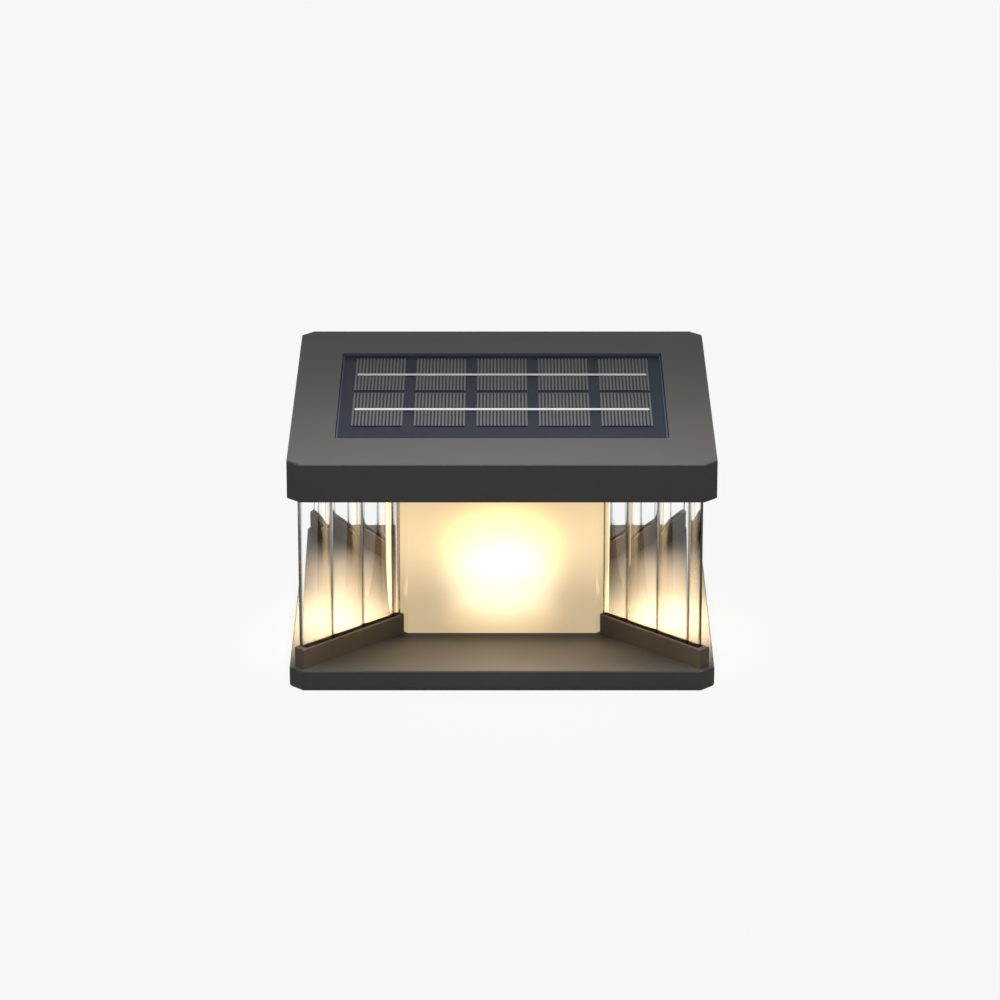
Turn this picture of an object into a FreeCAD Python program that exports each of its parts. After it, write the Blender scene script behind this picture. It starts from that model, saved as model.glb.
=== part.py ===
import FreeCAD, Part
import math
import os

# Solar post cap light: a square base slab and a square cap slab, a frosted light box between them,
# and four clear fluted fins that stand on the diagonals from the box to the corners.
# Millimetres, +Z up, origin at the centre of the underside.  Front is -Y, right is +X.

V = FreeCAD.Vector

# ---------------------------------------------------------------- driving dimensions
# slabs
width = 150.0                # side of the square base and of the cap
corner_cut_length = 4.4             # leg of the 45 degree cut on each vertical corner
base_height = 7.9
stage_height = 63.1          # clear height between the floor and the ceiling
cap_height = 14.2
base_bottom_round = 1.8
edge_bevel = 0.4             # bevel along the sharp slab edges
floor_thickness = 2.4
base_rim = 3.0               # wall of the base round the bottom cover
cover_ledge = 3.0            # step that the bottom gasket seals against
cap_wall = 2.4
cap_roof = 2.4
cap_ledge = 1.6              # step inside the skirt that the cap gasket seals against
cap_ledge_height = 1.4

# clearances
plate_gap = 0.25             # round a plate that drops into a frame
sheet_gap = 0.15             # each side of a clear fin in its groove
hole_gap = 0.15              # radial, round a screw or a peg in a through hole
thread_gap = 0.05            # radial, round a screw in its pilot hole
seat_gap = 0.2               # between ends that almost touch

# frosted light box
box_width = 76.6
box_wall = 2.2
box_corner_cut_length = 4.5
box_ridge = 1.5              # thickness of the ridge that locates the box
box_ridge_height = 2.5
seal_thickness = 0.6

# fins and their rails, measured along and across the diagonal
fin_thickness = 1.3          # even, because both faces follow the same flutes
flute_pitch = 14.9
flute_rise = 1.3             # height of a flute's crest above its valleys
flute_stagger = 7.0          # how far the flutes of two opposite fins are shifted along
fin_tongue_height = 4.7      # part of the fin that stands in the ceiling
fin_tongue_setback = 3.7     # the tongue stops short of the outer edge
fin_edge_gap = 0.4           # between the fin and the light box's corner
rail_thickness = 4.7
rail_height = 7.2
rail_groove_depth = 5.0
rail_setback = 1.95          # of a rail's outer end from the cut corner of the base
rail_end_wall = 0.9
rail_outer_wall = 2.1
rail_inner_round = 1.6
rail_edge_bevel = 0.25
rail_tab_length = 6.0        # of the two tabs below a rail, along the diagonal
rail_tab_width = 2.4
rail_tab_reach = 3.2         # how far they go down through the floor
rail_tab_spacing = 30.0
channel_wall = 1.3           # round the fin slots on top of the ceiling plate

# mast with the cell inside
mast_width = 27.0
mast_wall = 2.2
mast_rib = 1.6
mast_flange_width = 44.0
mast_flange_thickness = 2.5
mast_boss_width = 7.2
mast_boss_height = 9.0
mast_screw_spacing = 33.0
cell_radius = 7.0
cell_length = 50.0           # without the button on its positive end
cell_button_radius = 2.8
cell_button_height = 1.0
cell_edge = 0.6
cell_gap = 0.35
cell_tube_wall = 1.6
contact_thickness = 0.5
contact_gap = 0.1
contact_width = 9.6          # of the square top contact
mast_web = 2.4
leaf_thickness = 0.4
leaf_width = 8.0
leaf_foot = 1.5
leaf_span = 13.0
leaf_height = 4.4            # of the sprung contact above the bottom cover
lead_hole_radius = 2.5       # through the mast's web
lead_opening_radius = 5.3    # through the ceiling plate

# light boards
led_board_width = 21.0
led_board_length = 44.0
led_board_thickness = 1.2
led_board_height = 38.0      # of the boards' centres above the underside
led_length = 3.5
led_width = 2.8
led_thickness = 0.8
led_columns = 3
led_rows = 4
led_screw_inset = 2.4        # from a board's top edge
led_hook = 1.0               # thickness of the hooks that hold the boards' lower edges
led_hook_width = 8.0
led_hook_grip = 2.0
led_pitch_x = 5.6
led_pitch_z = 7.0

# ceiling plate and what stands on it
ceiling_thickness = 2.4
board_width = 52.0
board_depth = 19.0
board_thickness = 1.2
board_clearance = 2.5        # between the main board and the cap's rear boss
board_standoff = 2.5
board_screw_inset = 2.6
standoff_width = 4.4
component_pitch = 8.0
chip_width = 5.0
chip_depth = 6.0
chip_height = 1.6
small_chip_side = 4.0
small_chip_height = 1.2
coil_side = 6.0
coil_height = 2.6
capacitor_radius = 2.0
capacitor_height = 2.4
capacitor_pitch = 6.0
socket_width = 4.5
socket_depth = 7.0
socket_height = 2.2

# solar panel
panel_width = 117.4
panel_depth = 95.0
panel_offset_y = 0.35
panel_recess = 2.8
recess_floor = 1.4
panel_adhesive = 0.2
adhesive_inset = 1.0
panel_board = 1.6
cell_sheet = 0.25
busbar_sheet = 0.15
panel_cover = 0.5
panel_cover_bevel = 0.15
cover_air = 0.05
solar_cell_width = 18.1
solar_cell_depth = 36.3
solar_cell_pitch_x = 22.3
solar_cell_gap_y = 2.9
solar_columns = 5
solar_rows = 2
solar_cells_centre_y = 6.0
busbar_width = 1.8
busbar_overhang = -0.8       # of a busbar past the outer cells
busbar_shift_y = -0.2        # of a busbar from the middle of its row
lead_slot_width = 8.0
lead_slot_depth = 4.0
lead_slot_inset = 10.8       # from the panel's rear edge

# bottom cover
cover_thickness = 2.0
gasket_thickness = 0.8
gasket_inset = 0.5
keyhole_radius = 4.5
keyhole_slot_radius = 2.3
keyhole_slot_length = 9.0
keyhole_x = 42.0
screw_inset = 5.0            # of the cover's and the cap's screws from the ledge beside them

# screws
screw_radius = 1.25
screw_head_radius = 2.3
screw_head_height = 1.4
screw_boss_width = 7.0
small_screw_radius = 0.9
small_head_radius = 1.8
small_head_height = 1.0
cover_screw_length = 5.0
cap_screw_length = 9.0
mast_screw_length = 9.0
board_screw_length = 4.0
led_screw_length = 3.2
pilot_spare = 0.5            # depth of a pilot hole past its screw's point

# power switch
button_radius = 5.0
button_flange_radius = 6.2
button_flange = 0.8
button_edge = 0.5
button_recess = 0.6          # of the button's face above the underside
button_travel = 1.2
button_gap = 0.3
button_seat_gap = 0.1        # under the flange while the button is out
switch_side = 17.0
switch_clearance = 5.0       # between the switch and the boss in front of it

# ---------------------------------------------------------------- worked-out places
floor_z = base_height
ceiling_z = base_height + stage_height
top_z = ceiling_z + cap_height
base_pocket_z = base_height - floor_thickness
cover_width = width - 2 * base_rim - 2 * plate_gap
ledge_z = cover_thickness + gasket_thickness
plate_top_z = ceiling_z + ceiling_thickness
roof_under_z = top_z - cap_roof
recess_z = top_z - panel_recess
tub_z = recess_z - recess_floor
plate_width = width - 2 * cap_wall - 2 * plate_gap
cap_ledge_z = plate_top_z + gasket_thickness

cover_screw_reach = width / 2 - base_rim - cover_ledge - screw_inset
cap_screw_reach = width / 2 - cap_wall - cap_ledge - screw_inset
button_y = -(cover_screw_reach - screw_boss_width / 2 - switch_clearance - switch_side / 2)
board_centre_y = cap_screw_reach - screw_boss_width / 2 - board_clearance - board_depth / 2

box_half = box_width / 2
box_corner_reach = (box_width - box_corner_cut_length) / math.sqrt(2)
corner_reach = (width - corner_cut_length) / math.sqrt(2)
fin_inner = box_corner_reach + fin_edge_gap
rail_inner = box_corner_reach + seat_gap
rail_outer = corner_reach - rail_setback
groove_outer = rail_outer - rail_outer_wall
fin_outer = groove_outer - seat_gap
groove_width = fin_thickness + flute_rise + 2 * sheet_gap
groove_inner = rail_inner + rail_end_wall
fin_foot_inner = groove_inner + seat_gap
rail_top_z = floor_z + rail_height
groove_z = rail_top_z - rail_groove_depth
rail_centre = (rail_inner + rail_outer) / 2
tongue_outer = fin_outer - fin_tongue_setback

ridge_half = box_half - box_wall - plate_gap
mast_screw = mast_screw_spacing / 2
cell_bore = cell_radius + cell_gap
cell_bottom_z = cover_thickness + leaf_height
cell_top_z = cell_bottom_z + cell_length + cell_button_height
contact_z = cell_top_z + contact_gap
web_z = contact_z + contact_thickness

panel_cells_z = recess_z + panel_adhesive + panel_board
panel_bars_z = panel_cells_z + cell_sheet
panel_cover_z = panel_bars_z + busbar_sheet + cover_air
lead_slot_y = panel_offset_y + panel_depth / 2 - lead_slot_inset
solar_pitch_y = solar_cell_depth + solar_cell_gap_y
led_screw_z = led_board_height + led_board_length / 2 - led_screw_inset
main_board_z = plate_top_z + board_standoff
button_flange_z = cover_thickness + button_seat_gap

CORNERS = {"front_left": 225.0, "front_right": 315.0, "rear_right": 45.0, "rear_left": 135.0}
STAGGERED = ("front_right", "rear_left")     # fins with shifted flutes, turned crest to back
SIDES = {"front": 0.0, "right": 90.0, "rear": 180.0, "left": 270.0}


# ---------------------------------------------------------------- shape helpers
def block(x0, x1, y0, y1, z0, z1):
    """A box between two corners."""
    return Part.makeBox(x1 - x0, y1 - y0, z1 - z0, V(x0, y0, z0))


def centred_block(size_x, size_y, z0, z1, x=0.0, y=0.0):
    """A box centred on x, y between two heights."""
    return block(x - size_x / 2, x + size_x / 2, y - size_y / 2, y + size_y / 2, z0, z1)


def rod(radius, z0, z1, x=0.0, y=0.0):
    """An upright cylinder between two heights."""
    return Part.makeCylinder(radius, z1 - z0, V(x, y, z0))


def cut_square(side, cut, z0, z1):
    """A square prism with its four vertical corners cut at 45 degrees."""
    half = side / 2
    near = half - cut
    outline = [(near, -half), (half, -near), (half, near), (near, half),
               (-near, half), (-half, near), (-half, -near), (-near, -half)]
    points = [V(x, y, z0) for x, y in outline]
    face = Part.Face(Part.makePolygon(points + points[:1]))
    return face.extrude(V(0, 0, z1 - z0))


def inset_cut(cut, inset):
    """The corner cut that keeps an even wall when a cut square is drawn in by inset."""
    return cut - inset * (2 - math.sqrt(2))


def cut_frame(outer_side, inner_side, cut, z0, z1):
    """A square ring of even width, with its corners cut.  cut belongs to the outer side."""
    inner_cut = inset_cut(cut, (outer_side - inner_side) / 2)
    return cut_square(outer_side, cut, z0, z1).cut(cut_square(inner_side, inner_cut, z0, z1))


def joined(shapes):
    """One solid from shapes that touch."""
    return shapes[0].multiFuse(shapes[1:]).removeSplitter()


def turned(shape, degrees):
    """A copy turned about the object's upright axis."""
    copy = shape.copy()
    copy.rotate(V(0, 0, 0), V(0, 0, 1), degrees)
    return copy


def four_places(x, y):
    """The four points that a quarter turn takes x, y to."""
    return [(x, y), (-y, x), (-x, -y), (y, -x)]


def edges_at(shape, z, outside):
    """Edges of a slab that lie at height z and further out than outside from both centre planes."""
    found = []
    for edge in shape.Edges:
        box = edge.BoundBox
        middle = edge.CenterOfMass
        level = abs(box.ZMin - z) < 1e-6 and abs(box.ZMax - z) < 1e-6
        if level and max(abs(middle.x), abs(middle.y)) > outside:
            found.append(edge)
    return found


def hexagon(radius, z0, z1):
    """An upright hexagonal prism; radius reaches its corners."""
    turns = [math.radians(60 * step) for step in range(7)]
    outline = Part.makePolygon([V(radius * math.cos(turn), radius * math.sin(turn), z0) for turn in turns])
    return Part.Face(outline).extrude(V(0, 0, z1 - z0))


def hex_screw(radius, length, head_radius, head_height):
    """A hexagon-headed screw that stands on its head at z = 0, with its point up."""
    return joined([hexagon(head_radius, -head_height, 0), rod(radius, 0, length)])


def countersunk_screw(length):
    """A countersunk screw, turned in one profile; its head ends and its shank starts at z = 0."""
    outline = [V(0, 0, -screw_head_height), V(screw_head_radius, 0, -screw_head_height),
               V(screw_radius, 0, 0), V(screw_radius, 0, length - screw_head_height),
               V(0, 0, length - screw_head_height)]
    return Part.Face(Part.makePolygon(outline + outline[:1])).revolve(V(0, 0, 0), V(0, 0, 1), 360)


def countersink(x, y, z):
    """The cone that a countersunk head sits in, opening downwards at height z."""
    return Part.makeCone(screw_head_radius + hole_gap, screw_radius + hole_gap, screw_head_height, V(x, y, z))


def screws_at(one, places, z, point_down=False):
    """A group of like screws with their seats at height z."""
    return Part.makeCompound([placed(one, x, y, z, point_down) for x, y in places])


def placed(shape, x, y, z, point_down=False):
    """A copy of an upright screw moved to its seat, turned over when its point looks down."""
    copy = shape.copy()
    if point_down:
        copy.rotate(V(0, 0, 0), V(1, 0, 0), 180)
    copy.translate(V(x, y, z))
    return copy


# ---------------------------------------------------------------- base
def rail_tabs(bottom, gap=0.0):
    """A rail's two tabs down to a height, or the slots for them when there is a gap round them."""
    length = rail_tab_length + 2 * gap
    width_across = rail_tab_width + 2 * gap
    places = (rail_centre - rail_tab_spacing / 2, rail_centre + rail_tab_spacing / 2)
    return [centred_block(length, width_across, bottom, floor_z, x) for x in places]


def make_base_tray():
    """The base slab, open underneath, with the seats of the box, the mast and the rails."""
    slab = cut_square(width, corner_cut_length, 0, base_height)
    slab = slab.makeFillet(base_bottom_round, edges_at(slab, 0, width / 4))
    slab = slab.makeChamfer(edge_bevel, edges_at(slab, base_height, width / 4))
    cover_cut = inset_cut(corner_cut_length, base_rim)
    slab = slab.cut(cut_square(width - 2 * base_rim, cover_cut, 0, ledge_z))
    pocket_inset = base_rim + cover_ledge
    pocket_cut = inset_cut(corner_cut_length, pocket_inset)
    slab = slab.cut(cut_square(width - 2 * pocket_inset, pocket_cut, ledge_z, base_pocket_z))
    bosses = [centred_block(screw_boss_width, screw_boss_width, cover_thickness, base_pocket_z, x, y)
              for x, y in four_places(cover_screw_reach, 0)]
    slab = joined([slab] + bosses + [box_ridge_ring(floor_z, floor_z + box_ridge_height)])
    slab = slab.cut(box_seal(floor_z - seal_thickness))
    slab = slab.cut(rod(cell_bore, base_pocket_z, floor_z))
    for x, y in four_places(cover_screw_reach, 0):
        pilot_top = base_pocket_z + floor_thickness / 2
        slab = slab.cut(rod(screw_radius + thread_gap, cover_thickness, pilot_top, x, y))
    for x, y in mast_screw_places():
        slab = slab.cut(rod(screw_radius + hole_gap, base_pocket_z, floor_z, x, y))
    for angle in CORNERS.values():
        for tab in rail_tabs(base_pocket_z, hole_gap):
            slab = slab.cut(turned(tab, angle))
    return slab


def box_ridge_ring(z0, z1):
    """The upstand that the light box fits round."""
    cut = inset_cut(box_corner_cut_length, box_wall + plate_gap)
    return cut_frame(2 * ridge_half, 2 * (ridge_half - box_ridge), cut, z0, z1)


def box_seal(z0):
    """The flat seal under or over the light box's edge."""
    return cut_frame(box_width, box_width - 2 * box_wall, box_corner_cut_length, z0, z0 + seal_thickness)


def make_bottom_gasket():
    outer = width - 2 * base_rim - 2 * gasket_inset
    inner = width - 2 * base_rim - 2 * cover_ledge + 2 * gasket_inset
    cut = inset_cut(corner_cut_length, base_rim + gasket_inset)
    return cut_frame(outer, inner, cut, cover_thickness, ledge_z)


def keyhole(x):
    """A round entry for a screw head, with a narrow slot that the shank slides along."""
    entry = rod(keyhole_radius, 0, cover_thickness, x, 0)
    slot = block(x - keyhole_slot_radius, x + keyhole_slot_radius, 0, keyhole_slot_length, 0, cover_thickness)
    end = rod(keyhole_slot_radius, 0, cover_thickness, x, keyhole_slot_length)
    return joined([entry, slot, end])


def make_bottom_cover():
    """The flat cover under the base, with two keyholes for the post's screws and the button's hole."""
    cut = inset_cut(corner_cut_length, base_rim + plate_gap)
    cover = cut_square(cover_width, cut, 0, cover_thickness)
    for x in (-keyhole_x, keyhole_x):
        cover = cover.cut(keyhole(x))
    cover = cover.cut(rod(button_radius + button_gap, 0, cover_thickness, 0, button_y))
    for x, y in four_places(cover_screw_reach, 0):
        cover = cover.cut(rod(screw_radius + hole_gap, 0, cover_thickness, x, y))
        cover = cover.cut(countersink(x, y, 0))
    return cover


def make_bottom_cover_screws():
    one = countersunk_screw(cover_screw_length)
    return screws_at(one, four_places(cover_screw_reach, 0), screw_head_height)


# ---------------------------------------------------------------- fins and rails
def make_rail(angle):
    """A channel rail on the floor: grooved on top, round at its inner end, with two tabs below."""
    half = rail_thickness / 2
    rail = block(rail_inner, rail_outer, -half, half, floor_z, rail_top_z)
    inner_edges = [edge for edge in rail.Edges
                   if abs(edge.BoundBox.XMax - rail_inner) < 1e-6 and edge.BoundBox.ZLength > rail_height / 2]
    rail = rail.makeFillet(rail_inner_round, inner_edges)
    top_edges = [edge for edge in rail.Edges
                 if abs(edge.BoundBox.ZMin - rail_top_z) < 1e-6]
    rail = rail.makeChamfer(rail_edge_bevel, top_edges)
    groove = block(groove_inner, groove_outer, -groove_width / 2, groove_width / 2, groove_z, rail_top_z)
    return turned(joined([rail.cut(groove)] + rail_tabs(floor_z - rail_tab_reach)), angle)


def flute_valleys(inner, outer, phase):
    """Where the valleys between flutes lie.  phase is how far the first is from the outer edge."""
    first = outer - phase
    count = math.floor((first - inner) / flute_pitch) + 1
    return [first - flute_pitch * number for number in range(count)]


def fluted_section(inner, outer, phase, z):
    """The fin's cross-section: a sheet of even thickness, bent into arcs that meet at the valleys."""
    radius = ((flute_pitch / 2) ** 2 + flute_rise ** 2) / (2 * flute_rise)
    valleys = [valley for valley in flute_valleys(inner, outer, phase) if inner < valley < outer]
    stops = [outer] + valleys + [inner]

    def point(place, face):
        """A point on the crest face (face = 1) or on the hollow face (face = 0)."""
        from_crest = (outer - phase - place) % flute_pitch - flute_pitch / 2
        crest_height = flute_rise - radius + math.sqrt(radius ** 2 - from_crest ** 2)
        return V(place, crest_height + face * fin_thickness - (flute_rise + fin_thickness) / 2, z)

    edges = []
    for face in (0, 1):
        for start, end in zip(stops[:-1], stops[1:]):
            middle = point((start + end) / 2, face)
            edges.append(Part.Arc(point(start, face), middle, point(end, face)).toShape())
    for place in (inner, outer):
        edges.append(Part.LineSegment(point(place, 0), point(place, 1)).toShape())
    return Part.Face(Part.Wire(Part.__sortEdges__(edges)))


def make_fin(angle, phase, crest_side):
    """A clear fluted fin, notched at its foot for the rail and at its top for the ceiling's slot."""
    top = ceiling_z + fin_tongue_height
    fin = fluted_section(fin_inner, fin_outer, phase, groove_z).extrude(V(0, 0, top - groove_z))
    if crest_side < 0:
        fin = fin.mirror(V(0, 0, 0), V(0, 1, 0))
    foot_notch = block(fin_inner, fin_foot_inner, -groove_width, groove_width,
                       groove_z, rail_top_z + seat_gap)
    outer_notch = block(tongue_outer, fin_outer, -groove_width, groove_width, ceiling_z - seat_gap, top)
    return turned(fin.cut(foot_notch).cut(outer_notch), angle)


# ---------------------------------------------------------------- light box and mast
def make_light_box():
    """The frosted square tube that the light shows through."""
    return cut_frame(box_width, box_width - 2 * box_wall, box_corner_cut_length, floor_z, ceiling_z)


def mast_screw_places():
    """Plan places of the mast's two screws at each end, on one diagonal of its flanges."""
    return [(mast_screw, mast_screw), (-mast_screw, -mast_screw)]


def mast_floor(z):
    """A square flange of the mast, before its screw holes are drilled."""
    return centred_block(mast_flange_width, mast_flange_width, z, z + mast_flange_thickness)


def make_mast():
    """The column that ties base and cap together, with a tube for the cell down its middle."""
    tube_radius = cell_bore + cell_tube_wall
    inner = mast_width - 2 * mast_wall
    shell = centred_block(mast_width, mast_width, floor_z, ceiling_z)
    shell = shell.cut(centred_block(inner, inner, floor_z, ceiling_z))
    ribs = [turned(block(tube_radius - mast_rib / 2, mast_width / 2 - mast_wall / 2,
                         -mast_rib / 2, mast_rib / 2, floor_z, ceiling_z), angle) for angle in SIDES.values()]
    tube = rod(tube_radius, floor_z, ceiling_z).cut(rod(cell_bore, floor_z, web_z))
    tube = tube.cut(rod(cell_bore, web_z + mast_web, ceiling_z)).cut(rod(lead_hole_radius, web_z, ceiling_z))
    flanges = [mast_floor(z).cut(rod(tube_radius - mast_rib / 2, floor_z, ceiling_z))
               for z in (floor_z, ceiling_z - mast_flange_thickness)]
    bosses = []
    for x, y in mast_screw_places():
        bosses.append(mast_boss(floor_z, floor_z + mast_boss_height, x, y))
        bosses.append(mast_boss(ceiling_z - mast_boss_height, ceiling_z, x, y))
    hooks = [turned(led_board_hook(), angle) for angle in SIDES.values()]
    mast = joined([shell, tube] + ribs + flanges + bosses + hooks)
    pilot = mast_screw_length - floor_thickness + pilot_spare
    for x, y in mast_screw_places():
        mast = mast.cut(rod(screw_radius + thread_gap, floor_z, floor_z + pilot, x, y))
        mast = mast.cut(rod(screw_radius + thread_gap, ceiling_z - pilot, ceiling_z, x, y))
    for angle in SIDES.values():
        hole = Part.makeCylinder(small_screw_radius + thread_gap, led_screw_length,
                                 V(0, -mast_width / 2, led_screw_z), V(0, 1, 0))
        mast = mast.cut(turned(hole, angle))
    return mast


def mast_boss(z0, z1, x, y):
    """A square boss for one of the mast's screws."""
    return centred_block(mast_boss_width, mast_boss_width, z0, z1, x, y)


def led_board_hook():
    """The hook on the mast that a light board's lower edge stands in."""
    half = led_hook_width / 2
    board_face = -mast_width / 2 - led_board_thickness - hole_gap
    bottom = led_board_height - led_board_length / 2 - seat_gap
    shelf = block(-half, half, board_face - led_hook, -mast_width / 2, bottom - led_hook, bottom)
    lip = block(-half, half, board_face - led_hook, board_face, bottom, bottom + led_hook_grip)
    return joined([shelf, lip])


def make_led_board(angle):
    """One light board flat on a side of the mast."""
    back = -mast_width / 2
    board = block(-led_board_width / 2, led_board_width / 2, back - led_board_thickness, back,
                  led_board_height - led_board_length / 2, led_board_height + led_board_length / 2)
    hole = Part.makeCylinder(small_screw_radius + hole_gap, led_board_thickness,
                             V(0, back, led_screw_z), V(0, -1, 0))
    return turned(board.cut(hole), angle)


def make_leds():
    """The lamps of all four boards."""
    face = -mast_width / 2 - led_board_thickness
    chips = []
    for angle in SIDES.values():
        for column in range(led_columns):
            for row in range(led_rows):
                x = (column - (led_columns - 1) / 2) * led_pitch_x
                z = led_board_height + (row - (led_rows - 1) / 2) * led_pitch_z
                chip = block(x - led_length / 2, x + led_length / 2, face - led_thickness, face,
                             z - led_width / 2, z + led_width / 2)
                chips.append(turned(chip, angle))
    return Part.makeCompound(chips)


def make_led_board_screws():
    one = hex_screw(small_screw_radius, led_screw_length, small_head_radius, small_head_height)
    one.rotate(V(0, 0, 0), V(1, 0, 0), -90)
    one.translate(V(0, -mast_width / 2 - led_board_thickness, led_screw_z))
    return Part.makeCompound([turned(one, angle) for angle in SIDES.values()])


def make_mast_base_screws():
    one = hex_screw(screw_radius, mast_screw_length, screw_head_radius, screw_head_height)
    return screws_at(one, mast_screw_places(), base_pocket_z)


def make_mast_cap_screws():
    one = hex_screw(screw_radius, mast_screw_length, screw_head_radius, screw_head_height)
    return screws_at(one, mast_screw_places(), plate_top_z, True)


# ---------------------------------------------------------------- cell and its contacts
def make_cell():
    body = rod(cell_radius, cell_bottom_z, cell_bottom_z + cell_length)
    shoulder = edges_at(body, cell_bottom_z + cell_length, -1)
    body = body.makeChamfer(cell_edge, shoulder)
    return joined([body, rod(cell_button_radius, cell_bottom_z + cell_length, cell_top_z)])


def make_cell_leaf():
    """The bowed leaf on the bottom cover that presses the cell upwards."""
    half = leaf_span / 2
    foot = block(-half - leaf_foot, -half + leaf_thickness, -leaf_width / 2, leaf_width / 2,
                 cover_thickness, cover_thickness + leaf_thickness)
    top = cell_bottom_z

    def bow(drop):
        return Part.Arc(V(-half + drop, -leaf_width / 2, cover_thickness), V(0, -leaf_width / 2, top - drop),
                        V(half - drop, -leaf_width / 2, cover_thickness)).toShape()

    outer = bow(0.0)
    inner = bow(leaf_thickness)
    left = Part.LineSegment(outer.Vertexes[0].Point, inner.Vertexes[0].Point).toShape()
    right = Part.LineSegment(outer.Vertexes[1].Point, inner.Vertexes[1].Point).toShape()
    section = Part.Face(Part.Wire(Part.__sortEdges__([outer, inner, left, right])))
    return joined([section.extrude(V(0, leaf_width, 0)), foot, turned(foot, 180)])


def make_cell_top_contact():
    """The square plate that the cell's button presses on."""
    return centred_block(contact_width, contact_width, contact_z, web_z)


# ---------------------------------------------------------------- power switch
def make_switch_body():
    """The switch's square case behind the bottom cover, hollow for the button's flange and its travel."""
    cavity_top = button_flange_z + button_flange + button_travel + button_gap
    case = centred_block(switch_side, switch_side, cover_thickness, base_pocket_z, 0, button_y)
    return case.cut(rod(button_flange_radius + button_gap, cover_thickness, cavity_top, 0, button_y))


def make_power_button():
    """The round push button, held behind the cover by its flange."""
    button = rod(button_radius, button_recess, button_flange_z, 0, button_y)
    rim = [edge for edge in button.Edges if abs(edge.BoundBox.ZMax - button_recess) < 1e-6]
    button = button.makeChamfer(button_edge, rim[:1])
    flange = rod(button_flange_radius, button_flange_z, button_flange_z + button_flange, 0, button_y)
    return joined([button, flange])


# ---------------------------------------------------------------- ceiling plate
def channel(angle):
    """The closed pocket round one fin's tongue, on top of the ceiling plate."""
    half = groove_width / 2 + channel_wall
    pocket_top = ceiling_z + fin_tongue_height + seat_gap
    shape = block(fin_inner - seat_gap - channel_wall, tongue_outer + seat_gap + channel_wall,
                  -half, half, ceiling_z, pocket_top + channel_wall)
    return turned(shape, angle)


def slot(angle):
    """The slot that a fin's tongue stands in."""
    pocket_top = ceiling_z + fin_tongue_height + seat_gap
    shape = block(fin_inner - seat_gap, tongue_outer + seat_gap, -groove_width / 2, groove_width / 2,
                  ceiling_z, pocket_top)
    return turned(shape, angle)


def board_screw_places():
    """Plan places of the main board's two screws, on opposite corners."""
    x = board_width / 2 - board_screw_inset
    y = board_depth / 2 - board_screw_inset
    return [(side * x, board_centre_y + side * y) for side in (-1, 1)]


def board_rest_places():
    """Plan places of the plain feet under the board's other two corners."""
    return [(-x, y) for x, y in board_screw_places()]


def make_ceiling_plate():
    """The plate that closes the cap from below and holds the tops of the box and the fins."""
    cut = inset_cut(corner_cut_length, cap_wall + plate_gap)
    plate = cut_square(plate_width, cut, ceiling_z, plate_top_z)
    ridge = box_ridge_ring(ceiling_z - box_ridge_height, ceiling_z)
    standoffs = [centred_block(standoff_width, standoff_width, plate_top_z, main_board_z, x, y)
                 for x, y in board_screw_places() + board_rest_places()]
    plate = joined([plate, ridge] + standoffs + [channel(angle) for angle in CORNERS.values()])
    for angle in CORNERS.values():
        plate = plate.cut(slot(angle))
    plate = plate.cut(box_seal(ceiling_z))
    plate = plate.cut(rod(lead_opening_radius, ceiling_z, plate_top_z))
    for x, y in mast_screw_places():
        plate = plate.cut(rod(screw_radius + hole_gap, ceiling_z, plate_top_z, x, y))
    for x, y in four_places(cap_screw_reach, 0):
        plate = plate.cut(rod(screw_radius + hole_gap, ceiling_z, plate_top_z, x, y))
        plate = plate.cut(countersink(x, y, ceiling_z))
    pilot_bottom = plate_top_z - ceiling_thickness / 2
    for x, y in board_screw_places():
        plate = plate.cut(rod(small_screw_radius + thread_gap, pilot_bottom, main_board_z, x, y))
    return plate


# ---------------------------------------------------------------- cap
def panel_block(z0, z1, inset=0.0):
    """A block with the solar panel's plan."""
    return centred_block(panel_width - 2 * inset, panel_depth - 2 * inset, z0, z1, 0, panel_offset_y)


def make_cap_shell():
    """The cap: a square lid with a skirt, a ledge for its gasket and a tray for the solar panel."""
    lid = cut_square(width, corner_cut_length, ceiling_z, top_z)
    lid = lid.makeChamfer(edge_bevel, edges_at(lid, ceiling_z, width / 4) + edges_at(lid, top_z, width / 4))
    inner_cut = inset_cut(corner_cut_length, cap_wall)
    ledge_inset = cap_wall + cap_ledge
    ledge_cut = inset_cut(corner_cut_length, ledge_inset)
    ledge_top = cap_ledge_z + cap_ledge_height
    lid = lid.cut(cut_square(width - 2 * cap_wall, inner_cut, ceiling_z, cap_ledge_z))
    lid = lid.cut(cut_square(width - 2 * ledge_inset, ledge_cut, cap_ledge_z, ledge_top))
    lid = lid.cut(cut_square(width - 2 * cap_wall, inner_cut, ledge_top, roof_under_z))
    tray = panel_block(tub_z, roof_under_z, -plate_gap - recess_floor)
    bosses = [centred_block(screw_boss_width, screw_boss_width, plate_top_z, roof_under_z, x, y)
              for x, y in four_places(cap_screw_reach, 0)]
    lid = joined([lid, tray] + bosses)
    lid = lid.cut(panel_block(recess_z, top_z, -plate_gap))
    lid = lid.cut(centred_block(lead_slot_width, lead_slot_depth, tub_z, recess_z, 0, lead_slot_y))
    for x, y in four_places(cap_screw_reach, 0):
        depth = cap_screw_length - ceiling_thickness + pilot_spare
        lid = lid.cut(rod(screw_radius + thread_gap, plate_top_z, plate_top_z + depth, x, y))
    return lid


def make_cap_gasket():
    outer = width - 2 * cap_wall - 2 * plate_gap
    inner = width - 2 * cap_wall - 2 * cap_ledge
    cut = inset_cut(corner_cut_length, cap_wall + plate_gap)
    return cut_frame(outer, inner, cut, plate_top_z, cap_ledge_z)


def make_cap_screws():
    one = countersunk_screw(cap_screw_length)
    return screws_at(one, four_places(cap_screw_reach, 0), ceiling_z + screw_head_height)


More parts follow.
